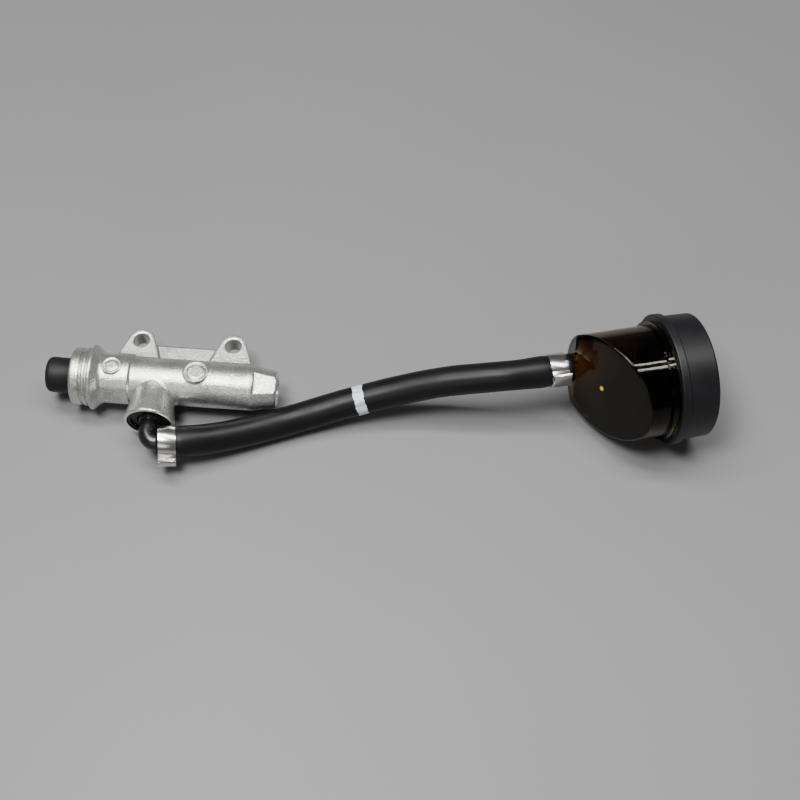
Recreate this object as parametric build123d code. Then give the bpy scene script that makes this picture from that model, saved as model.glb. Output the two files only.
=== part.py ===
"""Rear brake master cylinder with its feed hose and remote fluid reservoir.

Frame: millimetres. The origin is midway between the two mounting holes, in the middle
plane of the ears. +X runs along the bore towards the outlet, +Y from the bore towards
the ears, +Z along the mounting holes. The parts lie as on a bench, whose top is at BENCH_Z.
"""

import math
import os

from build123d import *

# ---- driving dimensions: cylinder casting ---------------------------------------------
HOLE_SPACING = 40.0
HOLE_R = 3.4
EAR_THICK = 8.5
EAR_TIP_R = 5.8
EAR_SIDE_DEG = 20.0
WEB_THICK = 6.0
WEB_EDGE_Y = -1.2
BORE_Y = -18.0
BOSS_X = -10.8
BENCH_Z = -14.0

REAR_R = 10.7
FRONT_R = 9.8
FLANGE_R = 14.0
COLLAR_R = 12.4
MOUTH_S = -35.7
STEP_S = -10.3
TAPER_S = 41.0
NOSE_S = 52.0
NOSE_R = 7.9
BOSS_LEN = 21.0
BOSS_MOUTH_R = 10.9
BOSS_ROOT_R = 8.8

# ---- driving dimensions: bore and piston group ----------------------------------------
BORE_R = 5.5
BORE_START_S = -20.6
BORE_END_S = 38.5
BOOT_RECESS_R = 8.2
CLIP_BORE_R = 6.6
OUTLET_R = 4.5
OUTLET_LEN = 10.0
STROKE = 12.0
RUNNING_GAP = 0.04
SPRING_R = 4.3
SPRING_WIRE = 1.0
SPRING_TURNS = 11

# ---- driving dimensions: elbow, hose and clamps ----------------------------------------
BOSS_CAVITY_R = 9.3
BOSS_CAVITY_FLOOR = 17.4
POCKET_R = 5.7
POCKET_FLOOR = 12.0
ELBOW_R = 3.7
ELBOW_BORE_R = 2.3
ELBOW_REACH = 30.3
HOSE_R = 6.4
HOSE_BORE_R = 3.75
HOSE_START = 4.4
BARB_LEN = 13.0
CLAMP_WIDTH = 7.4
CLAMP_THICK = 0.6

# ---- driving dimensions: reservoir -----------------------------------------------------
TANK_YAW = 17.3
TANK_DROP = 4.2
TANK_ROLL = -17.0
LIP_X = 201.9
LIP_Y = -8.6
TANK_R = 23.5
TANK_LEN = 33.2
TANK_WALL = 2.2
TANK_EDGE_R = 1.1
SHOULDER_R = 25.0
NECK_R = 22.8
NECK_LEN = 10.0
SLOPE_MID = 25.3
SLOPE_RISE = 26.0
NIPPLE_OFFSET = 15.8
CAP_LIP_R = 27.5
CAP_LIP_LEN = 3.0
CAP_R = 26.3
CAP_END_R = 25.9
CAP_LEN = 16.0
CAP_GAP = 0.08


def turned(outline):
    """A solid of revolution about local Z from (radius, height) points."""
    wire = Polyline(*[(r, 0, z) for r, z in outline], close=True)
    return revolve(make_face(wire), Axis.Z, 360)


def ring(inner, outer, low, high):
    """A plain turned ring."""
    return turned([(inner, low), (outer, low), (outer, high), (inner, high)])


def rod(radius, low, high):
    """A plain cylinder along local Z between two heights."""
    return Pos(0, 0, low) * Cylinder(radius, high - low, align=(Align.CENTER, Align.CENTER, Align.MIN))


def split_ring(inner, outer, low, high, gap_deg, lug_r):
    """An internal circlip: a flat ring with a gap and a drilled lug at each end of it."""
    clip = ring(inner, outer, low, high)
    gap = math.radians(gap_deg)
    reach = outer * 2
    wedge_points = [(0, 0), (reach * math.cos(gap), reach * math.sin(gap)),
                    (reach * math.cos(gap), -reach * math.sin(gap))]
    wedge = extrude(make_face(Polyline(*wedge_points, close=True)), high - low + 2)
    clip -= Pos(0, 0, low - 1) * wedge
    lug_at = inner - lug_r * 0.2
    turn = gap + lug_r / lug_at
    for side in (-1, 1):
        place = Pos(lug_at * math.cos(turn), side * lug_at * math.sin(turn), 0)
        clip += place * rod(lug_r, low, high)
        clip -= place * rod(lug_r * 0.45, low - 1, high + 1)
    return clip


# ---- shared frames ----------------------------------------------------------------------
bore = Plane(origin=(BOSS_X, BORE_Y, 0), x_dir=(0, 1, 0), z_dir=(1, 0, 0)).location
boss = Plane(origin=(BOSS_X, BORE_Y, 0), x_dir=(1, 0, 0), z_dir=(0, -1, 0)).location

yaw = math.radians(TANK_YAW)
drop = math.radians(TANK_DROP)
roll = math.radians(TANK_ROLL)
tank_dir = Vector(math.cos(drop) * math.cos(yaw), math.cos(drop) * math.sin(yaw), -math.sin(drop))
across = Vector(-math.sin(yaw), math.cos(yaw), 0)
nipple_side = across * math.cos(roll) + tank_dir.cross(across) * math.sin(roll)
lip_height = BENCH_Z + CAP_LIP_R * math.cos(drop) + CAP_LIP_LEN * math.sin(drop)
lip_centre = Vector(LIP_X, LIP_Y, lip_height)
tank = Plane(origin=lip_centre, x_dir=nipple_side, z_dir=tank_dir).location
nipple_root = lip_centre - tank_dir * TANK_LEN + nipple_side * NIPPLE_OFFSET

# ---- hose route: the corner of the elbow, then the hose's own points ---------------------
elbow_corner = Vector(BOSS_X, BORE_Y - ELBOW_REACH, 0)
elbow_dir = Vector(12.5, 2.3, -1.6).normalized()
hose_end = nipple_root - tank_dir * 0.4
route = [
    elbow_corner + elbow_dir * HOSE_START,
    elbow_corner + elbow_dir * 17.8,
    (20.3, -40.2, -5.0),
    (34.5, -33.9, -6.9),
    (50.5, -27.2, -7.3),
    (69.5, -20.4, -4.4),
    (90.0, -15.6, 0.6),
    (111.0, -12.7, 7.0),
    (130.5, -11.9, 11.4),
    hose_end - tank_dir * 18.0,
    hose_end,
]
route = [Vector(point) for point in route]


def corner_radii(points):
    """The arc at each corner: 0.45 of the shorter run over the tangent of half the turn."""
    radii = []
    for before, here, after in zip(points, points[1:], points[2:]):
        turn = math.radians((here - before).get_angle(after - here))
        shorter = min((here - before).length, (after - here).length)
        radii.append(0.45 * shorter / math.tan(turn / 2))
    return radii


def swept(radius, path):
    """A round bar of one radius along a path."""
    section = Plane(origin=path @ 0, z_dir=path % 0) * Circle(radius)
    return sweep(section, path=path)


# ---- cylinder casting -------------------------------------------------------------------
def casting_barrel():
    """The turned outside: boot collar, two narrow rings, flange, barrel and tapered nose."""
    return turned([
        (0, MOUTH_S),
        (COLLAR_R - 0.9, MOUTH_S),
        (COLLAR_R - 0.2, MOUTH_S + 0.4),
        (COLLAR_R, MOUTH_S + 1.1),
        (COLLAR_R, -31.4),
        (COLLAR_R - 1.0, -31.1),
        (COLLAR_R - 1.0, -30.4),
        (COLLAR_R + 0.1, -30.1),
        (COLLAR_R + 0.1, -28.9),
        (COLLAR_R - 0.8, -28.6),
        (COLLAR_R - 0.8, -28.0),
        (FLANGE_R - 0.7, -27.6),
        (FLANGE_R, -27.2),
        (FLANGE_R, -26.4),
        (FLANGE_R - 0.5, -25.8),
        (REAR_R + 1.5, -24.4),
        (REAR_R + 0.5, -23.4),
        (REAR_R, -22.2),
        (REAR_R, STEP_S - 0.5),
        (FRONT_R, STEP_S + 0.3),
        (FRONT_R, TAPER_S),
        (NOSE_R, NOSE_S - 0.7),
        (NOSE_R - 0.7, NOSE_S),
        (0, NOSE_S),
    ])


def ear_plate():
    """Both ears and the lower web between them, square to the mounting holes."""
    side = math.radians(EAR_SIDE_DEG)
    tangent_x = EAR_TIP_R * math.cos(side)
    tangent_y = EAR_TIP_R * math.sin(side)
    root_x = tangent_x + (tangent_y - BORE_Y) * math.tan(side)
    outline = make_face(Polyline(
        (-root_x, BORE_Y), (-tangent_x, tangent_y), (tangent_x, tangent_y), (root_x, BORE_Y),
        close=True,
    ))
    ear = extrude(outline + Circle(EAR_TIP_R), EAR_THICK / 2, both=True)
    ears = Pos(-HOLE_SPACING / 2, 0, 0) * ear + Pos(HOLE_SPACING / 2, 0, 0) * ear
    rim = [e for e in ears.edges() if abs(abs(e.center().Z) - EAR_THICK / 2) < 0.01
           and e.center().Y > BORE_Y + 0.1]
    ears = chamfer(rim, 0.4)
    web_width = WEB_EDGE_Y - BORE_Y
    web = Pos(0, BORE_Y + web_width / 2, 0) * Box(HOLE_SPACING, web_width, WEB_THICK)
    far_edges = [e for e in web.edges() if e.center().Y > WEB_EDGE_Y - 0.01
                 and abs(e.center().X) < 0.01]
    web = fillet(far_edges, 0.8)
    return ears + web


def boss_body():
    """The inlet boss, which widens towards its mouth."""
    return turned([
        (0, 0),
        (BOSS_ROOT_R, 0),
        (BOSS_ROOT_R, 7.5),
        (BOSS_ROOT_R + 0.25, 10.5),
        (BOSS_ROOT_R + 0.85, 14.0),
        (BOSS_MOUTH_R - 0.1, 19.8),
        (BOSS_MOUTH_R, 20.4),
        (BOSS_MOUTH_R - 0.25, 20.85),
        (BOSS_MOUTH_R - 0.6, BOSS_LEN),
        (0, BOSS_LEN),
    ])


def nose_flats():
    """Two opposite cast flats that lean in with the nose's taper."""
    flats = []
    for side in (0, 180):
        block = Pos(0, 0, FRONT_R + 2.55) * Box(16, 12, 8)
        leaned = Pos(TAPER_S + 0.2, 0, 0) * Rot(0, 7.5, 0) * Pos(8, 0, 0) * block
        flats.append(Pos(BOSS_X, BORE_Y, 0) * Rot(18 + side, 0, 0) * leaned)
    return flats


def round_marks():
    """Two blank raised discs on the top of the barrel, each inside a raised ring."""
    marks = []
    for along, radius, top in ((-18.0, 4.1, REAR_R + 0.35), (17.8, 5.2, FRONT_R + 0.35)):
        disc = rod(radius, 4, top) - ring(radius - 1.6, radius - 0.8, top - 0.5, top + 1)
        marks.append(Pos(BOSS_X + along, BORE_Y, 0) * disc)
    return marks


def bore_space():
    """Everything bored along the barrel, from the boot recess to the outlet thread."""
    return turned([
        (0, MOUTH_S - 1),
        (BOOT_RECESS_R, MOUTH_S - 1),
        (BOOT_RECESS_R, -30.6),
        (BOOT_RECESS_R + 0.8, -30.6),
        (BOOT_RECESS_R + 0.8, -28.6),
        (BOOT_RECESS_R, -28.6),
        (BOOT_RECESS_R, -25.4),
        (CLIP_BORE_R, -25.4),
        (CLIP_BORE_R, -23.6),
        (CLIP_BORE_R + 0.7, -23.6),
        (CLIP_BORE_R + 0.7, -22.5),
        (CLIP_BORE_R, -22.5),
        (CLIP_BORE_R, BORE_START_S - 0.6),
        (BORE_R, BORE_START_S),
        (BORE_R, BORE_END_S),
        (2.0, BORE_END_S + 1.5),
        (2.0, NOSE_S - OUTLET_LEN - 1.2),
        (OUTLET_R, NOSE_S - OUTLET_LEN),
        (OUTLET_R, NOSE_S + 1),
        (0, NOSE_S + 1),
    ])


def boss_space():
    """The elbow's seat in the boss, with the feed hole and the compensating hole."""
    space = turned([
        (0, POCKET_FLOOR),
        (POCKET_R, POCKET_FLOOR),
        (POCKET_R, BOSS_CAVITY_FLOOR),
        (BOSS_CAVITY_R, BOSS_CAVITY_FLOOR),
        (BOSS_CAVITY_R, 19.5),
        (BOSS_CAVITY_R + 0.6, 19.5),
        (BOSS_CAVITY_R + 0.6, 20.5),
        (BOSS_CAVITY_R, 20.5),
        (BOSS_CAVITY_R, BOSS_LEN + 1),
        (0, BOSS_LEN + 1),
    ])
    feed_hole = Pos(-3.8, 0, 0) * rod(1.25, BORE_R - 1.5, POCKET_FLOOR + 1)
    compensating_hole = Pos(4.7, 0, 0) * rod(0.4, BORE_R - 1.5, POCKET_FLOOR + 1)
    return space + feed_hole + compensating_hole


def cylinder_body():
    """The one-piece aluminium casting with its machined bores."""
    barrel = bore * casting_barrel()
    body = barrel + boss * boss_body()
    joint = [e for e in body.edges() if e.geom_type not in (GeomType.LINE, GeomType.CIRCLE)]
    body = fillet(joint, 1.6)
    ears = ear_plate()
    body += ears
    for flat in nose_flats():
        body -= flat
    for mark in round_marks():
        body += mark
    body -= bore * bore_space()
    body -= boss * boss_space()
    for side in (-1, 1):
        body -= Pos(side * HOLE_SPACING / 2, 0, 0) * rod(HOLE_R, -EAR_THICK, EAR_THICK)
    return body


# ---- boot and piston group ---------------------------------------------------------------
def dust_boot():
    """The rubber boot: a bead in the collar's groove and an open end for the push rod."""
    return turned([
        (6.0, -25.7), (7.9, -25.7), (8.1, -26.2), (8.1, -28.8), (8.8, -28.9), (8.8, -30.3),
        (8.1, -30.4), (8.0, -35.3), (7.75, -36.3), (7.55, -38.5), (7.5, -41.0), (7.65, -43.5),
        (7.6, -45.2), (7.2, -46.3), (6.3, -47.0), (3.8, -47.2), (3.5, -46.9), (3.5, -45.6),
        (5.2, -45.2), (5.8, -44.2), (6.0, -42.0),
    ])


def piston():
    """The spool-shaped piston, with a socket for the push rod in its stub."""
    land = BORE_R - RUNNING_GAP
    spool = turned([
        (0, -27.5), (3.0, -27.5), (3.3, -27.2), (3.3, -21.3), (land - 0.4, -21.3), (land, -20.9),
        (land, -17.2), (3.7, -17.2), (3.7, -13.4), (land, -13.4), (land, -11.6), (3.2, -10.9),
        (3.2, -3.3), (land, -2.6), (land, -0.9), (2.6, -0.9), (2.6, 6.0), (2.4, 6.2), (0, 6.2),
    ])
    return spool - Pos(0, 0, -27.9) * Sphere(2.4)


def secondary_cup():
    """The rear rubber cup, whose lip keeps the feed fluid from the boot."""
    lip = BORE_R - 0.03
    return turned([
        (3.75, -17.1), (lip - 0.5, -17.1), (lip - 0.35, -15.6), (lip, -13.8), (lip - 0.5, -13.55),
        (lip - 0.8, -15.2), (4.3, -15.4), (4.1, -13.7), (3.75, -13.6),
    ])


def primary_cup():
    """The front rubber cup, which seals the pressure chamber."""
    lip = BORE_R - 0.03
    return turned([
        (2.65, -0.5), (lip - 0.35, -0.5), (lip - 0.2, 1.4), (lip, 3.7), (lip - 0.5, 4.0),
        (lip - 0.9, 1.9), (3.6, 1.8), (3.3, 3.7), (2.65, 3.9),
    ])


def spring_seat():
    """The pressed seat that centres the return spring on the piston's nose."""
    return turned([
        (2.65, 4.1), (4.9, 4.1), (4.9, 5.0), (3.4, 5.0), (3.4, 7.2), (3.1, 7.5), (2.65, 7.5),
    ])


def return_spring():
    """A round-wire compression spring from the seat to the closed end of the bore."""
    low = 5.0 + SPRING_WIRE / 2 + 0.03
    height = BORE_END_S - SPRING_WIRE / 2 - 0.03 - low
    helix = Helix(height / SPRING_TURNS, height, SPRING_R)
    section = Plane(origin=helix @ 0, z_dir=helix % 0) * Circle(SPRING_WIRE / 2)
    return Pos(0, 0, low) * sweep(section, path=helix, is_frenet=True)


# ---- elbow, hose and clamps ---------------------------------------------------------------
def barbs(start, length, radius):
    """Two hose barbs on a spigot along local Z."""
    rings = []
    for along in (start + length * 0.45, start + length - 0.8):
        rings.append(turned([
            (0, along - 3.0), (radius - 0.05, along - 3.0), (radius + 0.35, along - 0.4),
            (radius + 0.35, along), (radius - 0.05, along), (0, along),
        ]))
    return rings[0] + rings[1]


def elbow_fitting():
    """The moulded elbow: spigot with a ring groove, flange, stem and barbed arm."""
    base = turned([
        (0, POCKET_FLOOR + 0.4), (5.2, POCKET_FLOOR + 0.4), (POCKET_R - 0.1, POCKET_FLOOR + 0.8),
        (POCKET_R - 0.1, 13.7), (4.3, 13.7), (4.3, 15.7), (POCKET_R - 0.1, 15.7),
        (POCKET_R - 0.1, BOSS_CAVITY_FLOOR + 0.05), (BOSS_CAVITY_R - 0.2, BOSS_CAVITY_FLOOR + 0.05),
        (BOSS_CAVITY_R - 0.2, 18.9), (5.2, 18.9), (4.3, 20.2), (0, 20.2),
    ])
    arm_end = elbow_corner + elbow_dir * (HOSE_START + BARB_LEN)
    stem_start = Vector(BOSS_X, BORE_Y - POCKET_FLOOR - 0.4, 0)
    path = FilletPolyline(stem_start, elbow_corner, arm_end, radius=4.2)
    arm = Plane(origin=elbow_corner, z_dir=elbow_dir).location
    shape = boss * base + swept(ELBOW_R, path) + arm * barbs(HOSE_START, BARB_LEN, ELBOW_R)
    return shape - swept(ELBOW_BORE_R, path)


def feed_hose(radii):
    """The rubber hose as straight runs joined by tangent arcs, from elbow to nipple."""
    path = FilletPolyline(*route, radius=radii)
    return swept(HOSE_R, path) - swept(HOSE_BORE_R, path)


def crimp_clamp(centre, along, ear_dir):
    """A single-ear band clamp: the band, and the pinched ear that closed it."""
    inner = HOSE_R + 0.05
    outer = inner + CLAMP_THICK
    half = CLAMP_WIDTH / 2
    band = ring(inner, outer, -half, half)
    top = outer + 3.0
    shell = Polyline(
        (inner + 0.2, -3.1), (outer + 0.9, -2.2), (top - 0.5, -2.9), (top, -2.4), (top - 0.5, 0),
        (top, 2.4), (top - 0.5, 2.9), (outer + 0.9, 2.2), (inner + 0.2, 3.1), close=True,
    )
    hollow = Polyline(
        (outer - 0.1, -1.5), (outer + 0.9, -1.5), (top - 0.8, -2.1), (top - 1.1, 0),
        (top - 0.8, 2.1), (outer + 0.9, 1.5), (outer - 0.1, 1.5), close=True,
    )
    ear = extrude(make_face(shell) - make_face(hollow), half, both=True)
    across_dir = ear_dir - along * ear_dir.dot(along)
    place = Plane(origin=centre, x_dir=across_dir, z_dir=along).location
    return place * (band + (ear - rod(inner, -half, half)))


# ---- reservoir ------------------------------------------------------------------------------
def tank_shape(radius, length, wall):
    """The closed tank form: a cylinder cut by the slanted face and ended by a small flat."""
    form = rod(radius, -length, -0.6)
    slope = math.atan2(SLOPE_RISE, 2 * TANK_R)
    lean = Rot(0, math.degrees(slope), 0)
    cutter = Pos(0, 0, -SLOPE_MID + wall / math.cos(slope)) * lean * Pos(0, 0, -30) * Box(120, 120, 60)
    return form - cutter


def reservoir_tank():
    """The smoked tank, its shoulder ring, neck, barbed nipple and gate mark."""
    outside = tank_shape(TANK_R, TANK_LEN, 0)
    far_edges = [e for e in outside.edges() if e.center().Z < -1 and abs((e % 0.5).Z) < 0.99]
    outside = fillet(far_edges, TANK_EDGE_R)
    outside += ring(0.1, SHOULDER_R, -3.6, -0.6)
    outside += ring(0.1, NECK_R, -0.8, NECK_LEN)
    nipple = Pos(NIPPLE_OFFSET, 0, -TANK_LEN) * Rot(180, 0, 0)
    outside += nipple * rod(HOSE_BORE_R - 0.05, -3, BARB_LEN)
    outside += nipple * barbs(0, BARB_LEN, HOSE_BORE_R)
    inside = tank_shape(TANK_R - TANK_WALL, TANK_LEN - TANK_WALL, TANK_WALL)
    inside += rod(NECK_R - 2.4, -4, NECK_LEN + 1)
    outlet = nipple * rod(ELBOW_BORE_R, -6, BARB_LEN + 1)
    slope = math.degrees(math.atan2(SLOPE_RISE, 2 * TANK_R))
    gate = Pos(0, 0, -SLOPE_MID) * Rot(0, slope, 0) * rod(1.3, -0.35, 0.6)
    return tank * (outside - inside - outlet + gate)


def diaphragm():
    """The rubber bellows: a rim on the neck and a folded cup that hangs in the tank."""
    return tank * turned([
        (19.0, NECK_LEN + 0.05), (NECK_R - 0.1, NECK_LEN + 0.05), (NECK_R - 0.1, NECK_LEN + 1.2),
        (17.6, NECK_LEN + 1.2), (17.0, NECK_LEN - 0.2), (16.6, 2.6), (15.6, 2.0), (13.0, 2.0),
        (12.4, 2.6), (12.2, 6.4), (11.4, 7.2), (0, 7.2), (0, 6.1), (10.8, 6.1), (11.1, 5.8),
        (11.3, 1.6), (12.3, 0.9), (16.4, 0.9), (17.6, 2.0), (18.2, NECK_LEN - 1.4),
    ])


def slip_ring():
    """The hard plastic ring that lets the cap turn without twisting the bellows."""
    low = NECK_LEN + 1.25
    return tank * turned([
        (17.8, low), (NECK_R - 0.1, low), (NECK_R - 0.1, low + 0.9), (18.2, low + 0.9),
        (18.0, low + 0.7), (17.8, low + 0.7),
    ])


def reservoir_cap():
    """The screw cap: a wide lip, a slightly tapered skirt and a recessed end."""
    bore_r = NECK_R + CAP_GAP
    ceiling = NECK_LEN + 2.3
    cap = turned([
        (0, ceiling), (bore_r, ceiling), (bore_r, -0.3), (bore_r + 1.0, -0.3), (bore_r + 1.0, -0.4),
        (CAP_LIP_R, -0.4), (CAP_LIP_R, CAP_LIP_LEN), (CAP_R, CAP_LIP_LEN), (CAP_END_R, CAP_LEN),
        (21.6, CAP_LEN), (21.0, CAP_LEN - 1.0), (7.6, CAP_LEN - 1.0),
        (7.2, CAP_LEN - 0.5), (0, CAP_LEN - 0.5),
    ])
    for radius, height, edge_r in (
        (CAP_LIP_R, -0.4, 0.5), (CAP_LIP_R, CAP_LIP_LEN, 0.5), (CAP_R, CAP_LIP_LEN, 0.4),
        (CAP_END_R, CAP_LEN, 0.9), (21.6, CAP_LEN, 0.3),
    ):
        rim = [e for e in cap.edges() if e.geom_type == GeomType.CIRCLE
               and abs(e.radius - radius) < 0.01 and abs(e.center().Z - height) < 0.01]
        cap = fillet(rim, edge_r)
    for index in range(4):
        slot = Rot(0, 0, 45 + 90 * index) * Pos(14.5, 0, CAP_LEN - 1.0) * Box(6.0, 1.4, 1.2)
        cap -= slot
    vent = rod(0.6, ceiling - 1, CAP_LEN + 1)
    return tank * (cap - Pos(10.0, 0, 0) * vent)


# ---- build and write ---------------------------------------------------------------------------
radii = corner_radii(route)
print("hose corner radii", [round(radius) for radius in radii])
hose_path = FilletPolyline(*route, radius=radii)
hose = feed_hose(radii)
hose_area = math.pi * (HOSE_R ** 2 - HOSE_BORE_R ** 2)
print("hose length", round(hose_path.length, 1))
print("hose volume over section times length", hose.volume / (hose_area * hose_path.length))

rear_ear_dir = Vector(0, -math.cos(math.radians(12)), -math.sin(math.radians(12)))
tank_ear_dir = Vector(0, -math.cos(math.radians(28)), math.sin(math.radians(28)))
clamp_in = HOSE_START + 0.8 + CLAMP_WIDTH / 2

nodes = {
    "cylinder_body": cylinder_body(),
    "dust_boot": bore * dust_boot(),
    "piston_circlip": bore * split_ring(5.3, CLIP_BORE_R + 0.6, -23.5, -22.6, 20, 1.3),
    "stop_washer": bore * ring(3.5, CLIP_BORE_R - 0.1, -22.4, -21.4),
    "piston": bore * piston(),
    "secondary_cup": bore * secondary_cup(),
    "cup_washer": bore * ring(2.7, BORE_R - 0.3, -0.88, -0.55),
    "primary_cup": bore * primary_cup(),
    "spring_seat": bore * spring_seat(),
    "return_spring": bore * return_spring(),
    "elbow_fitting": elbow_fitting(),
    "elbow_o_ring": boss * Pos(0, 0, 14.7) * Torus(4.98, 0.62),
    "elbow_washer": boss * ring(5.3, BOSS_CAVITY_R - 0.2, 18.95, 19.45),
    "elbow_circlip": boss * split_ring(8.1, BOSS_CAVITY_R + 0.5, 19.55, 20.4, 16, 1.2),
    "feed_hose": hose,
    "clamp_cylinder_end": crimp_clamp(elbow_corner + elbow_dir * clamp_in, elbow_dir, rear_ear_dir),
    "clamp_reservoir_end": crimp_clamp(hose_end - tank_dir * 6.6, tank_dir, tank_ear_dir),
    "reservoir_tank": reservoir_tank(),
    "diaphragm": diaphragm(),
    "slip_ring": slip_ring(),
    "reservoir_cap": reservoir_cap(),
}

os.makedirs("parts", exist_ok=True)
for name, shape in nodes.items():
    export_step(shape, f"parts/{name}.step")
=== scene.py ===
import math

import bpy
import bmesh
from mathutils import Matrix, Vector, noise


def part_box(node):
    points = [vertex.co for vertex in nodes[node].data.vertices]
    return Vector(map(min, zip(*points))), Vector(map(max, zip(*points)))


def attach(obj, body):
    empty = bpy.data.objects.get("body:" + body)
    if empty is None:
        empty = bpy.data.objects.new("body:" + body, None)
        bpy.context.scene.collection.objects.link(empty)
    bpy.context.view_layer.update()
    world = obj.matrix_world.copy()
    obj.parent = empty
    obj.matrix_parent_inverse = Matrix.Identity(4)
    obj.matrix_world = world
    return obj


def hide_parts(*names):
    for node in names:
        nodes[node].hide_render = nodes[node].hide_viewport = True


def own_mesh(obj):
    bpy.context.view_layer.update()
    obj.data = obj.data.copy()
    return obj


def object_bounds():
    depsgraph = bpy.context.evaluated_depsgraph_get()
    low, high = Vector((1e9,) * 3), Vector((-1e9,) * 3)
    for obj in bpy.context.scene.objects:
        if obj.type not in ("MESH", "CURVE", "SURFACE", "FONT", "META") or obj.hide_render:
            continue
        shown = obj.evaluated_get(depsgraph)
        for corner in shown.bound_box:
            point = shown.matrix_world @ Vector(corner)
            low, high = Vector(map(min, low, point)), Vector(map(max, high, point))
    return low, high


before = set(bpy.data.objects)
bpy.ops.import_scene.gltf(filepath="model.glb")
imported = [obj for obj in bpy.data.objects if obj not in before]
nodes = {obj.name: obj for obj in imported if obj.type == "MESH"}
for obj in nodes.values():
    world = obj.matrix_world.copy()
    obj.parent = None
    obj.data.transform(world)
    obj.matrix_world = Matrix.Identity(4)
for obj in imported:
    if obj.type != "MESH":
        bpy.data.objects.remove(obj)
cad_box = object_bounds()
mm = 0.001

# ---- viewpoint -------------------------------------------------------------------------
# The parts lie on a bench, and the eye stands above and in front of the elbow's side,
# so the bore runs left to right and the ears point away.
bore_y = -18.0 * mm
boss_x = -10.8 * mm
bench_z = cad_box[0].z
eye = Vector((boss_x + 131.0 * mm, bore_y - 329.0 * mm, 537.0 * mm))
eye_down_deg = 58.5
eye_turn_deg = 4.6
camera_data = bpy.data.cameras.new("viewpoint")
camera_data.lens = 66.6
camera_data.sensor_width = 36.0
camera = bpy.data.objects.new("viewpoint", camera_data)
camera.location = eye
camera.rotation_euler = (math.radians(90.0 - eye_down_deg), 0.0, math.radians(eye_turn_deg))
bpy.context.scene.collection.objects.link(camera)
bpy.context.scene.camera = camera

# ---- feed hose -------------------------------------------------------------------------
# Extruded brake-fluid hose of black rubber, cut square and pushed over the barbs at both
# ends. A painted band marks the batch. It keeps the bend it was packed with.
hose_route = [
    (-6.506, -47.510, -0.550),
    (6.569, -45.104, -2.223),
    (20.3, -40.2, -5.0),
    (34.5, -33.9, -6.9),
    (50.5, -27.2, -7.3),
    (69.5, -20.4, -4.4),
    (90.0, -15.6, 0.6),
    (111.0, -12.7, 7.0),
    (130.5, -11.9, 11.4),
    (147.950, -9.578, 12.818),
    (165.090, -4.240, 11.500),
]
hose_r = 6.4 * mm
hose_sides = 64
hose_line = bpy.data.curves.new("hose_line", "CURVE")
hose_line.dimensions = "3D"
hose_line.resolution_u = 16
spline = hose_line.splines.new("NURBS")
spline.points.add(len(hose_route) - 1)
for point, place in zip(spline.points, hose_route):
    point.co = (*[value * mm for value in place], 1.0)
spline.order_u = 3
spline.use_endpoint_u = True
hose_guide = bpy.data.objects.new("hose_guide", hose_line)
hose_path = [vertex.co.copy() for vertex in bpy.data.meshes.new_from_object(hose_guide).vertices]


def new_piece(name, mesh):
    """Puts an edit mesh into the scene as an object of the same name."""
    data = bpy.data.meshes.new(name)
    mesh.to_mesh(data)
    mesh.free()
    piece = bpy.data.objects.new(name, data)
    bpy.context.scene.collection.objects.link(piece)
    return piece


def path_frames(path):
    """A position, a length from the start and a turn-free cross frame at each path point."""
    frames = []
    along = 0.0
    side = Vector((0.0, 0.0, 1.0))
    for index, here in enumerate(path):
        before = path[max(index - 1, 0)]
        after = path[min(index + 1, len(path) - 1)]
        forward = (after - before).normalized()
        side = (side - forward * side.dot(forward)).normalized()
        if index:
            along += (here - before).length
        frames.append((here, along, side, forward.cross(side)))
    return frames


def add_ring(mesh, centre, side, up, radius_at, sides):
    """Adds a ring of vertices about a centre. Its radius may change with the turn."""
    ring = []
    for step in range(sides):
        turn = 2.0 * math.pi * step / sides
        out = side * math.cos(turn) + up * math.sin(turn)
        ring.append(mesh.verts.new(centre + out * radius_at(turn)))
    return ring


def join_rings(mesh, first, second):
    """Fills the strip between two rings with smooth four-sided faces."""
    for step in range(len(first)):
        after = (step + 1) % len(first)
        face = mesh.faces.new((first[step], first[after], second[after], second[step]))
        face.smooth = True


def tube_mesh(frames, radius_at, sides):
    """A skin round the frames, with u along the length and v round the section."""
    mesh = bmesh.new()
    uv = mesh.loops.layers.uv.new("UVMap")
    rings = [add_ring(mesh, place, side, up, lambda turn: radius_at(along, turn), sides)
             for place, along, side, up in frames]
    for row in range(len(rings) - 1):
        for step in range(sides):
            after = (step + 1) % sides
            face = mesh.faces.new((rings[row][step], rings[row + 1][step],
                                   rings[row + 1][after], rings[row][after]))
            face.smooth = True
            spots = ((row, step), (row + 1, step), (row + 1, step + 1), (row, step + 1))
            for loop, (spot_row, spot_step) in zip(face.loops, spots):
                loop[uv].uv = (frames[spot_row][1], spot_step / sides)
    return mesh, rings


hose_frames = path_frames(hose_path)
hose_length = hose_frames[-1][1]
barb_swells = ((13.5 * mm, 0.2 * mm), (hose_length - 13.0 * mm, 0.35 * mm))
swell_reach = 5.0 * mm
clamp_centres = (4.5 * mm, hose_length - 6.2 * mm)
clamp_half = 3.7 * mm
clamp_nip = 0.3 * mm
nip_reach = 0.8 * mm
hose_wander = 0.05 * mm
end_round = 0.35 * mm
end_round_reach = 0.5 * mm
hose_end_outline = ((5.2, 0.0), (4.1, 0.0), (3.8, 0.25), (3.75, 6.0))


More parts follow.
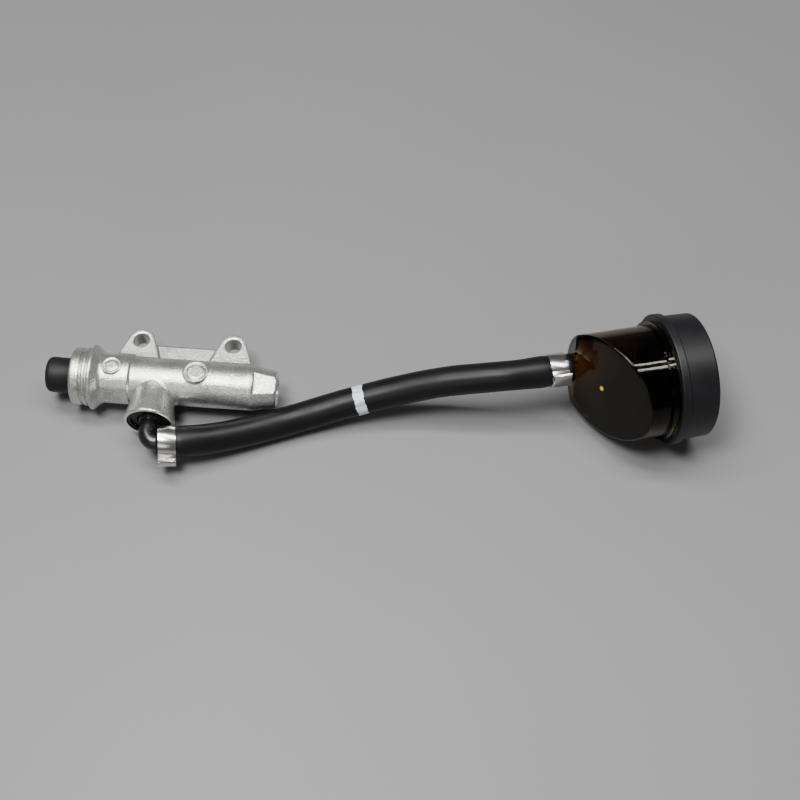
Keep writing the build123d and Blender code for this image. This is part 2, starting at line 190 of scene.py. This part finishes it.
def hose_radius(along, turn):
    """The hose's outside: swollen over the barbs and nipped in under each clamp band."""
    radius = hose_r
    for centre, height in barb_swells:
        radius += height * math.exp(-(((along - centre) / swell_reach) ** 2))
    for centre in clamp_centres:
        past_band = max(abs(along - centre) - clamp_half, 0.0)
        radius -= clamp_nip * math.exp(-((past_band / nip_reach) ** 2))
    radius += hose_wander * math.sin(along * 310.0 + 1.3) * math.cos(turn * 2.0 + along * 90.0)
    from_end = min(along, hose_length - along)
    return radius - end_round * max(0.0, 1.0 - from_end / end_round_reach) ** 2


hose_mesh, hose_rings = tube_mesh(hose_frames, hose_radius, hose_sides)
for end, inward in ((0, 1.0), (-1, -1.0)):
    place, along, side, up = hose_frames[end]
    into_hose = side.cross(up) * inward
    last = hose_rings[end]
    for radius, depth in hose_end_outline:
        ring = add_ring(hose_mesh, place + into_hose * depth * mm, side, up,
                        lambda turn: radius * mm, hose_sides)
        join_rings(hose_mesh, last, ring)
        last = ring
    hose_mesh.faces.new(last)
bmesh.ops.recalc_face_normals(hose_mesh, faces=hose_mesh.faces)
hose = new_piece("hose", hose_mesh)


def new_finish(name):
    """An empty material with its Principled shader, for a piece's own nodes."""
    material = bpy.data.materials.new(name)
    material.use_nodes = True
    tree = material.node_tree
    shader = tree.nodes["Principled BSDF"]
    return material, tree, shader


def add_node(tree, kind, settings=None, **inputs):
    """Adds a node, sets its properties, and sets or links each named input."""
    node = tree.nodes.new(kind)
    for key, value in (settings or {}).items():
        setattr(node, key, value)
    for key, value in inputs.items():
        socket = node.inputs[key.replace("_", " ")]
        if isinstance(value, bpy.types.NodeSocket):
            tree.links.new(value, socket)
        else:
            socket.default_value = value
    return node


def surface_skin_group():
    """The faint mottle and fine grain that a mould or a cutting tool leaves on a surface."""
    group = bpy.data.node_groups.new("surface_skin", "ShaderNodeTree")
    face = group.interface
    for name in ("Grain", "Grain Detail", "Mottle"):
        face.new_socket(name=name, in_out="INPUT", socket_type="NodeSocketFloat")
    for name in ("Height", "Cloud"):
        face.new_socket(name=name, in_out="OUTPUT", socket_type="NodeSocketFloat")
    start = group.nodes.new("NodeGroupInput")
    end = group.nodes.new("NodeGroupOutput")
    place = add_node(group, "ShaderNodeTexCoord").outputs["Object"]
    grain = add_node(group, "ShaderNodeTexNoise", Vector=place, Scale=start.outputs["Grain"],
                     Detail=start.outputs["Grain Detail"])
    cloud = add_node(group, "ShaderNodeTexNoise", Vector=place, Scale=start.outputs["Mottle"],
                     Detail=4.0)
    group.links.new(grain.outputs["Fac"], end.inputs["Height"])
    group.links.new(cloud.outputs["Fac"], end.inputs["Cloud"])
    return group


surface_skin = surface_skin_group()


def mixed(tree, mask, low, high):
    """A colour that runs from low to high with a mask."""
    ramp = add_node(tree, "ShaderNodeValToRGB", Fac=mask)
    ramp.color_ramp.elements[0].color = (*low, 1.0)
    ramp.color_ramp.elements[1].color = (*high, 1.0)
    return ramp.outputs["Color"]


def ranged(tree, mask, low, high):
    """A value that runs from low to high as a mask runs over its middle range."""
    spread = add_node(tree, "ShaderNodeMapRange", Value=mask)
    spread.inputs["From Min"].default_value = 0.3
    spread.inputs["From Max"].default_value = 0.7
    spread.inputs["To Min"].default_value = low
    spread.inputs["To Max"].default_value = high
    return spread.outputs["Result"]


def add_bump(tree, shader, height, distance, strength=1.0):
    """Roughens a shader's surface by a height."""
    bump = add_node(tree, "ShaderNodeBump", Height=height, Distance=distance, Strength=strength)
    tree.links.new(bump.outputs["Normal"], shader.inputs["Normal"])


def moulded_finish(name, dark, light, rough, grain, depth):
    """A moulded rubber or plastic: two tones, a roughness range and a fine skin."""
    material, tree, shader = new_finish(name)
    skin = add_node(tree, "ShaderNodeGroup", {"node_tree": surface_skin},
                    Grain=grain, Grain_Detail=3.0, Mottle=grain / 25.0)
    tree.links.new(mixed(tree, skin.outputs["Cloud"], dark, light), shader.inputs["Base Color"])
    tree.links.new(ranged(tree, skin.outputs["Cloud"], *rough), shader.inputs["Roughness"])
    add_bump(tree, shader, skin.outputs["Height"], depth * mm)
    return material, shader


hose_rubber, shader = moulded_finish(
    "hose_rubber", (0.0035, 0.0035, 0.004), (0.008, 0.008, 0.009), (0.34, 0.46), 2200.0, 0.02)
shader.inputs["Specular IOR Level"].default_value = 0.22
hose.data.materials.append(hose_rubber)
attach(hose, "housing")
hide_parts("feed_hose")


def frame_at(frames, along):
    """The cross frame at any length from the start, between two path points."""
    index = 1
    while index < len(frames) - 1 and frames[index][1] < along:
        index += 1
    before, after = frames[index - 1], frames[index]
    share = (along - before[1]) / (after[1] - before[1])
    return (before[0].lerp(after[0], share), along, before[2].lerp(after[2], share).normalized(),
            before[3].lerp(after[3], share).normalized())


band_x = 77.2 * mm
band_half = 2.3 * mm
band_step = 0.18 * mm
paint_coat = 0.05 * mm
paint_dip = 0.12 * mm
band_at = min(hose_frames, key=lambda item: abs(item[0].x - band_x))[1]
band_frames = [frame_at(hose_frames, band_at + step * band_step) for step in range(-16, 17)]


def band_radius(along, turn):
    """A coat of paint with slightly ragged edges, which dip under the rubber."""
    rag = 0.16 * mm * math.sin(turn * 7.0 + 0.6) + 0.10 * mm * math.sin(turn * 19.0 + 2.0)
    inside = abs(along - band_at) < band_half + rag
    return hose_radius(along, turn) + (paint_coat if inside else -paint_dip)


band = new_piece("hose_band", tube_mesh(band_frames, band_radius, 96)[0])
band_paint, tree, shader = new_finish("band_paint")
place = add_node(tree, "ShaderNodeTexCoord").outputs["UV"]
streak_map = add_node(tree, "ShaderNodeMapping", Vector=place)
streak_map.inputs["Scale"].default_value = (60.0, 26.0, 1.0)
streaks = add_node(tree, "ShaderNodeTexNoise", Vector=streak_map.outputs["Vector"],
                   Scale=1.0, Detail=5.0)
ramp = add_node(tree, "ShaderNodeValToRGB", Fac=streaks.outputs["Fac"])
ramp.color_ramp.elements[0].position = 0.36
ramp.color_ramp.elements[0].color = (0.30, 0.36, 0.43, 1.0)
ramp.color_ramp.elements[1].position = 0.52
ramp.color_ramp.elements[1].color = (0.74, 0.80, 0.86, 1.0)
tree.links.new(ramp.outputs["Color"], shader.inputs["Base Color"])
tree.links.new(ranged(tree, streaks.outputs["Fac"], 0.62, 0.42), shader.inputs["Roughness"])
band.data.materials.append(band_paint)
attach(band, "housing")


# ---- cylinder casting ------------------------------------------------------------------
# One sand-cast aluminium body, shot-blasted and painted silver. The ears, the boss mouth
# and all bores are machined after painting, so they are bare, brighter metal, but the walls deep
# inside the boss are coloured near-black as painted shade.
weld_reach = 0.002 * mm
cast_voxel = 0.27 * mm
ear_hole_x = 20.0 * mm
ear_hole_reach = 3.75 * mm
ear_face_z = 4.1 * mm
ear_root_y = -6.3 * mm
boss_mouth_y = -38.75 * mm
boss_floor_y = -35.0 * mm
boss_pocket_y = -29.5 * mm
boss_cavity_r = 9.7 * mm
port_reach = 6.0 * mm
collar_bore_reach = 9.2 * mm
collar_end_x = -10.0 * mm
nose_face_x = 41.05 * mm
cast_lump = 0.02 * mm


def welded_mesh(node_name):
    """A CAD piece's skin as an edit mesh, with its face borders welded."""
    skin = bmesh.new()
    skin.from_mesh(nodes[node_name].data)
    bmesh.ops.remove_doubles(skin, verts=skin.verts, dist=weld_reach)
    return skin


def softened_copy(node_name, piece_name, voxel, passes):
    """A CAD piece's copy, welded, finely remeshed and smoothed, so that its edges are soft."""
    piece = new_piece(piece_name, welded_mesh(node_name))
    remesh = piece.modifiers.new("remesh", "REMESH")
    remesh.mode = "VOXEL"
    remesh.voxel_size = voxel
    remesh.use_smooth_shade = True
    smooth = piece.modifiers.new("smooth", "SMOOTH")
    smooth.factor = 0.5
    smooth.iterations = passes
    shaped = piece.evaluated_get(bpy.context.evaluated_depsgraph_get())
    final = bpy.data.meshes.new_from_object(shaped)
    piece.modifiers.clear()
    piece.data = final
    final.name = piece_name
    return piece


casting = softened_copy("cylinder_body", "casting", cast_voxel, 8)
machined = casting.data.attributes.new("machined", "FLOAT", "POINT")
shaded = casting.data.attributes.new("shaded", "FLOAT", "POINT")
bare_spots = []
shaded_spots = []
shifted = []
for vertex in casting.data.vertices:
    x, y, z = vertex.co
    on_ear = abs(z) > ear_face_z and y > ear_root_y
    in_hole = math.hypot(abs(x) - ear_hole_x, y) < ear_hole_reach
    on_mouth = y < boss_mouth_y
    from_bore = math.hypot(y - bore_y, z)
    in_collar = from_bore < collar_bore_reach and x < collar_end_x
    in_bore = in_collar or from_bore < port_reach or x > nose_face_x
    from_boss = math.hypot(x - boss_x, z)
    in_cavity = from_boss < boss_cavity_r and y < boss_floor_y
    in_boss = in_cavity or from_boss < port_reach and y < boss_pocket_y
    is_bare = on_ear or in_hole or on_mouth or in_bore or in_boss
    lump = noise.noise(vertex.co * 260.0) + 0.5 * noise.noise(vertex.co * 700.0)
    rise = 0.0 if is_bare else lump * cast_lump
    bare_spots.append(1.0 if is_bare else 0.0)
    # Painted shade: the walls inside the boss below its mouth are marked for a near-black colour that
    # stands for the shade in the cavity.
    shaded_spots.append(1.0 if in_boss and y > boss_mouth_y else 0.0)
    shifted.extend(vertex.co + vertex.normal * rise)
machined.data.foreach_set("value", bare_spots)
shaded.data.foreach_set("value", shaded_spots)
casting.data.vertices.foreach_set("co", shifted)
casting.data.update()


def cast_grain_group():
    """Shot-blasted sand grain: fine pits, a coarser orange-peel and a soft cloud."""
    group = bpy.data.node_groups.new("cast_grain", "ShaderNodeTree")
    face = group.interface
    face.new_socket(name="Grain", in_out="INPUT", socket_type="NodeSocketFloat")
    for name in ("Height", "Speck"):
        face.new_socket(name=name, in_out="OUTPUT", socket_type="NodeSocketFloat")
    start = group.nodes.new("NodeGroupInput")
    end = group.nodes.new("NodeGroupOutput")
    place = add_node(group, "ShaderNodeTexCoord").outputs["Object"]
    fine = add_node(group, "ShaderNodeTexNoise", Vector=place, Scale=start.outputs["Grain"],
                    Detail=2.0)
    pits = add_node(group, "ShaderNodeTexVoronoi", Vector=place, Scale=start.outputs["Grain"])
    cloud = add_node(group, "ShaderNodeTexNoise", Vector=place, Scale=130.0, Detail=3.0)

    def combined(operation, *terms):
        """One step of arithmetic on sockets or plain numbers."""
        step = add_node(group, "ShaderNodeMath", {"operation": operation})
        for socket, term in zip(step.inputs, terms):
            if isinstance(term, float):
                socket.default_value = term
            else:
                group.links.new(term, socket)
        return step.outputs["Value"]

    cloud_part = combined("MULTIPLY", cloud.outputs["Fac"], 0.4)
    speck = combined("MULTIPLY_ADD", fine.outputs["Fac"], 0.6, cloud_part)
    height = combined("ADD", fine.outputs["Fac"], pits.outputs["Distance"])
    group.links.new(height, end.inputs["Height"])
    group.links.new(speck, end.inputs["Speck"])
    return group


def laid_over(tree, attribute, under, over):
    """A plain colour laid over another where the mesh's named attribute is 1."""
    mask = add_node(tree, "ShaderNodeAttribute", {"attribute_name": attribute}).outputs["Fac"]
    mix = add_node(tree, "ShaderNodeMix", {"data_type": "RGBA"})
    factor, low, high, result = mix.inputs[0], mix.inputs[6], mix.inputs[7], mix.outputs[2]
    tree.links.new(mask, factor)
    tree.links.new(under, low)
    high.default_value = (*over, 1.0)
    return mask, result


cast_aluminium, tree, shader = new_finish("cast_aluminium")
grain = add_node(tree, "ShaderNodeGroup", {"node_tree": cast_grain_group()}, Grain=1900.0)
specks = ranged(tree, grain.outputs["Speck"], 0.0, 1.0)
paint = mixed(tree, specks, (0.26, 0.26, 0.24), (0.90, 0.91, 0.85))
bare, tone = laid_over(tree, "machined", paint, (0.80, 0.80, 0.77))
# Painted shade: the marked walls inside the boss take a near-black colour in place of the shade in
# the cavity.
tone = laid_over(tree, "shaded", tone, (0.035, 0.035, 0.035))[1]
tree.links.new(tone, shader.inputs["Base Color"])
gloss = add_node(tree, "ShaderNodeMapRange", Value=bare)
gloss.inputs["To Min"].default_value = 0.32
gloss.inputs["To Max"].default_value = 0.30
tree.links.new(gloss.outputs["Result"], shader.inputs["Roughness"])
shader.inputs["Metallic"].default_value = 0.9
add_bump(tree, shader, grain.outputs["Height"], 0.06 * mm)
casting.data.materials.append(cast_aluminium)
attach(casting, "housing")
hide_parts("cylinder_body")


# ---- dust boot ---------------------------------------------------------------------------
# A moulded rubber boot. Its bead snaps into the groove of the collar, and its open end
# grips the push rod when the part is fitted.
boot_outline = [
    (6.0, -25.7), (7.9, -25.7), (8.1, -26.2), (8.1, -28.8), (8.8, -28.9), (8.8, -30.3),
    (8.1, -30.4), (8.0, -35.3), (7.75, -36.3), (7.55, -38.5), (7.5, -41.0), (7.65, -43.5),
    (7.6, -45.2), (7.2, -46.3), (6.3, -47.0), (3.8, -47.2), (3.5, -46.9), (3.5, -45.6),
    (5.2, -45.2), (5.8, -44.2), (6.0, -42.0),
]


def rounded(outline, reach):
    """A closed outline with each corner replaced by a short curve, reach millimetres long."""
    points = []
    for index, here in enumerate(outline):
        before = Vector(outline[index - 1])
        after = Vector(outline[(index + 1) % len(outline)])
        here = Vector(here)
        first = here + (before - here) * min(0.45, reach / (before - here).length)
        last = here + (after - here) * min(0.45, reach / (after - here).length)
        for step in range(5):
            share = step / 4
            points.append(first.lerp(here, share).lerp(here.lerp(last, share), share))
    return points


def turned_piece(name, outline, origin, axis, side, sides=128):
    """A closed outline of (radius, height) points in millimetres, turned about an axis."""
    across = axis.cross(side)
    mesh = bmesh.new()
    rings = []
    for radius, height in outline:
        centre = origin + axis * height * mm
        rings.append(add_ring(mesh, centre, side, across, lambda turn: radius * mm, sides))
    for row, ring in enumerate(rings):
        join_rings(mesh, ring, rings[(row + 1) % len(rings)])
    bmesh.ops.recalc_face_normals(mesh, faces=mesh.faces)
    return new_piece(name, mesh)


bore_centre = Vector((boss_x, bore_y, 0.0))
bore_axis = Vector((1.0, 0.0, 0.0))
bore_side = Vector((0.0, 1.0, 0.0))
boot = turned_piece("boot", rounded(boot_outline, 0.5), bore_centre, bore_axis, bore_side)
boot_rubber, shader = moulded_finish(
    "boot_rubber", (0.004, 0.004, 0.0045), (0.010, 0.010, 0.011), (0.42, 0.56), 1800.0, 0.02)
shader.inputs["Specular IOR Level"].default_value = 0.25
boot.data.materials.append(boot_rubber)
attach(boot, "housing")
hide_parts("dust_boot")


# ---- piston group and return spring ------------------------------------------------------
# An anodised aluminium spool carries two moulded rubber cups, a thin plated washer and the
# pressed spring seat. A music-wire spring pushes it back against the stop washer.
def turned_metal(name, dark, light, rough, grain=900.0):
    """A turned, pressed or plated metal with fine lines and a faint cloud."""
    material, tree, shader = new_finish(name)
    skin = add_node(tree, "ShaderNodeGroup", {"node_tree": surface_skin},
                    Grain=grain, Grain_Detail=4.0, Mottle=grain / 8.0)
    tree.links.new(mixed(tree, skin.outputs["Cloud"], dark, light), shader.inputs["Base Color"])
    tree.links.new(ranged(tree, skin.outputs["Height"], *rough), shader.inputs["Roughness"])
    shader.inputs["Metallic"].default_value = 1.0
    add_bump(tree, shader, skin.outputs["Height"], 0.002 * mm)
    return material


def finish_node(name, material):
    """Gives a CAD piece that keeps its own shape its material."""
    target = nodes[name]
    target.data.materials.clear()
    target.data.materials.append(material)


seal_rubber = moulded_finish(
    "seal_rubber", (0.012, 0.012, 0.012), (0.024, 0.023, 0.022), (0.35, 0.5), 2400.0, 0.01)[0]
anodised_piston = turned_metal("anodised_piston", (0.20, 0.19, 0.15), (0.27, 0.25, 0.19), (0.28, 0.4))
zinc_steel = turned_metal("zinc_steel", (0.48, 0.48, 0.47), (0.60, 0.60, 0.58), (0.24, 0.4))
spring_steel = turned_metal("spring_steel", (0.30, 0.29, 0.28), (0.42, 0.41, 0.40), (0.22, 0.38))
finish_node("piston", anodised_piston)
for seal_name in ("secondary_cup", "primary_cup", "elbow_o_ring", "diaphragm"):
    finish_node(seal_name, seal_rubber)
for plated_name in ("cup_washer", "spring_seat", "stop_washer"):
    finish_node(plated_name, zinc_steel)
finish_node("piston_circlip", spring_steel)

spring_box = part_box("return_spring")
spring_wire = 1.0 * mm
spring_start = spring_box[0].x + spring_wire / 2
spring_end = spring_box[1].x - spring_wire / 2
spring_r = (spring_box[1].y - spring_box[0].y - spring_wire) / 2
spring_turns = 11
steps_per_turn = 28
spring_steps = spring_turns * steps_per_turn
spring_path = []
for step in range(spring_steps + 1):
    share = step / spring_steps
    turn = 2.0 * math.pi * spring_turns * share
    spring_path.append(Vector((
        spring_start + (spring_end - spring_start) * share,
        bore_y + spring_r * math.cos(turn),
        spring_r * math.sin(turn),
    )))
spring_mesh, spring_rings = tube_mesh(
    path_frames(spring_path), lambda along, turn: spring_wire / 2, 12)
for ring in (spring_rings[0], spring_rings[-1]):
    spring_mesh.faces.new(ring)
bmesh.ops.recalc_face_normals(spring_mesh, faces=spring_mesh.faces)
coil_spring = new_piece("coil_spring", spring_mesh)
coil_spring.data.materials.append(spring_steel)
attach(coil_spring, "housing")
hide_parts("return_spring")
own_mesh(coil_spring)


# ---- inlet elbow -------------------------------------------------------------------------
# A glass-filled nylon elbow, injection moulded and glossy, with two hose barbs. Its flange
# sits in the boss under a washer and a circlip, and an O-ring seals its spigot.
elbow_voxel = 0.16 * mm
elbow = softened_copy("elbow_fitting", "elbow", elbow_voxel, 3)
elbow_plastic = moulded_finish(
    "elbow_plastic", (0.005, 0.005, 0.005), (0.012, 0.012, 0.012), (0.20, 0.42), 1400.0, 0.06)[0]
elbow.data.materials.append(elbow_plastic)
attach(elbow, "housing")
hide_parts("elbow_fitting")
black_oxide = turned_metal("black_oxide", (0.020, 0.019, 0.018), (0.045, 0.043, 0.040), (0.30, 0.5))
for retainer in ("elbow_washer", "elbow_circlip"):
    finish_node(retainer, black_oxide)


# ---- hose clamps -------------------------------------------------------------------------
# Single-ear clamps of thin stainless strip, slid over each hose end and crimped. The
# crimping tool leaves the ear pinched, with a bright fold along each side.
stainless_clamp = turned_metal(
    "stainless_clamp", (0.64, 0.63, 0.60), (0.70, 0.69, 0.66), (0.20, 0.24), grain=1400.0)
flat_enough = math.radians(0.5)
sharp_enough = math.radians(30.0)
for node_name in ("clamp_cylinder_end", "clamp_reservoir_end"):
    strip = welded_mesh(node_name)
    bmesh.ops.dissolve_limit(strip, angle_limit=flat_enough, verts=strip.verts, edges=strip.edges)
    clamp = new_piece(node_name.replace("clamp", "ear_clamp"), strip)
    clamp.data.shade_smooth()
    edge = clamp.modifiers.new("rounded_edge", "BEVEL")
    edge.width = 0.13 * mm
    edge.segments = 3
    edge.limit_method = "ANGLE"
    edge.angle_limit = sharp_enough
    edge.harden_normals = True
    clamp.data.materials.append(stainless_clamp)
    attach(clamp, "housing")
    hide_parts(node_name)


# ---- reservoir tank ----------------------------------------------------------------------
# A smoked, amber-tinted nylon tank, injection moulded in one piece with its nipple. The
# amber tint is in the plastic; round the nipple's root it is painted lighter, a painted glow of light
# shining through the plastic there.
nipple_root = hose_path[-1] + Vector((4.0, 1.3, -0.3)) * mm
smoked_plastic, tree, shader = new_finish("smoked_plastic")
place = add_node(tree, "ShaderNodeTexCoord").outputs["Object"]
from_root = add_node(tree, "ShaderNodeVectorMath", {"operation": "DISTANCE"})
tree.links.new(place, from_root.inputs[0])
from_root.inputs[1].default_value = nipple_root
# Painted glow: the amber tint is lighter within 4 mm of the nipple's root and darkens out to 24 mm,
# standing in for light shining through the plastic there.
painted_glow = add_node(tree, "ShaderNodeMapRange", Value=from_root.outputs["Value"])
painted_glow.inputs["From Min"].default_value = 4.0 * mm
painted_glow.inputs["From Max"].default_value = 24.0 * mm
tint = mixed(tree, painted_glow.outputs["Result"], (0.33, 0.20, 0.045), (0.11, 0.066, 0.016))
tree.links.new(tint, shader.inputs["Base Color"])
shader.inputs["Specular Tint"].default_value = (0.6, 0.6, 0.57, 1.0)
shader.inputs["Roughness"].default_value = 0.05
shader.inputs["Specular IOR Level"].default_value = 0.2
shader.inputs["Transmission Weight"].default_value = 1.0
shader.inputs["IOR"].default_value = 1.38
ripple = add_node(tree, "ShaderNodeTexNoise", Vector=place, Scale=90.0, Detail=2.0)
add_bump(tree, shader, ripple.outputs["Fac"], 0.05 * mm, 0.5)
finish_node("reservoir_tank", smoked_plastic)

tank_axis = Vector((0.952197, 0.296576, -0.073238))
nipple_side = Vector((-0.304761, 0.906682, -0.291691)).normalized()
tank_across = tank_axis.cross(nipple_side)
tank_origin = Vector((201.9, -8.6, 13.646)) * mm
tank_r = 23.5
slope_rise = 26.0
slope_mid = 25.3
slope_angle = math.atan2(slope_rise, 2 * tank_r)
slope_normal = -tank_axis * math.cos(slope_angle) - nipple_side * math.sin(slope_angle)
slope_along = slope_normal.cross(tank_across)
gate_outline = [(1.15, -0.2), (1.15, 0.15), (0.9, 0.4), (0.4, 0.46), (0.01, 0.46), (0.01, -0.2)]
gate_place = tank_origin - tank_axis * slope_mid * mm
gate_scar = turned_piece(
    "gate_scar", rounded(gate_outline, 0.15), gate_place, slope_normal, slope_along, 32)
gate_amber = moulded_finish(
    "gate_amber", (0.62, 0.42, 0.03), (0.86, 0.66, 0.08), (0.3, 0.45), 1800.0, 0.03)[0]
gate_scar.data.materials.append(gate_amber)
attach(gate_scar, "housing")


# ---- bellows, slip ring and cap ------------------------------------------------------------
# The rubber bellows keeps air off the fluid. A hard white ring lets the cap turn over it.
# The cap is moulded in matt black plastic with a wide lip below a plain skirt.
white_plastic = moulded_finish(
    "white_plastic", (0.62, 0.61, 0.57), (0.74, 0.73, 0.69), (0.4, 0.5), 1500.0, 0.01)[0]
finish_node("slip_ring", white_plastic)
cap_plastic, shader = moulded_finish(
    "cap_plastic", (0.004, 0.004, 0.0045), (0.008, 0.008, 0.009), (0.40, 0.48), 2600.0, 0.012)
shader.inputs["Specular IOR Level"].default_value = 0.4
finish_node("reservoir_cap", cap_plastic)


# ---- studio ------------------------------------------------------------------------------
# A plain pale bench top, under a soft overhead light, two long strips and a weak light from
# the front. The room round it is dim.
floor_half = 1.4
floor_gap = 0.02 * mm
floor_mesh = bmesh.new()
floor_mesh.faces.new([
    floor_mesh.verts.new((x * floor_half, y * floor_half, bench_z - floor_gap))
    for x, y in ((-1, -1), (1, -1), (1, 1), (-1, 1))])
bench_top = new_piece("bench_top", floor_mesh)
bench_paint, tree, shader = new_finish("bench_paint")
place = add_node(tree, "ShaderNodeTexCoord").outputs["Object"]
cloud = add_node(tree, "ShaderNodeTexNoise", Vector=place, Scale=5.0)
bench_tone = mixed(tree, cloud.outputs["Fac"], (0.16, 0.16, 0.163), (0.185, 0.185, 0.188))
tree.links.new(bench_tone, shader.inputs["Base Color"])
shader.inputs["Roughness"].default_value = 0.5
bench_top.data.materials.append(bench_paint)


def soft_light(name, place, aim, width, depth, watts):
    """A rectangular soft light that faces a point."""
    lamp = bpy.data.lights.new(name, "AREA")
    lamp.shape = "RECTANGLE"
    lamp.size = width
    lamp.size_y = depth
    lamp.energy = watts
    holder = bpy.data.objects.new(name, lamp)
    holder.location = place
    holder.rotation_euler = (Vector(aim) - Vector(place)).to_track_quat("-Z", "Y").to_euler()
    bpy.context.scene.collection.objects.link(holder)


middle = (0.08, -0.02, 0.0)
soft_light("overhead_light", (-0.14, -0.22, 1.0), middle, 0.34, 0.28, 13.0)
soft_light("front_fill", (-0.15, -1.3, 0.75), middle, 0.9, 0.5, 2.5)
soft_light("near_strip", (0.10, 0.10, 1.0), middle, 1.2, 0.07, 7.0)
soft_light("far_strip", (0.10, 0.24, 1.0), middle, 1.2, 0.06, 6.5)
world = bpy.data.worlds.new("room")
world.use_nodes = True
room = world.node_tree.nodes["Background"]
room.inputs["Color"].default_value = (0.80, 0.82, 0.85, 1.0)
room.inputs["Strength"].default_value = 0.12
bpy.context.scene.world = world
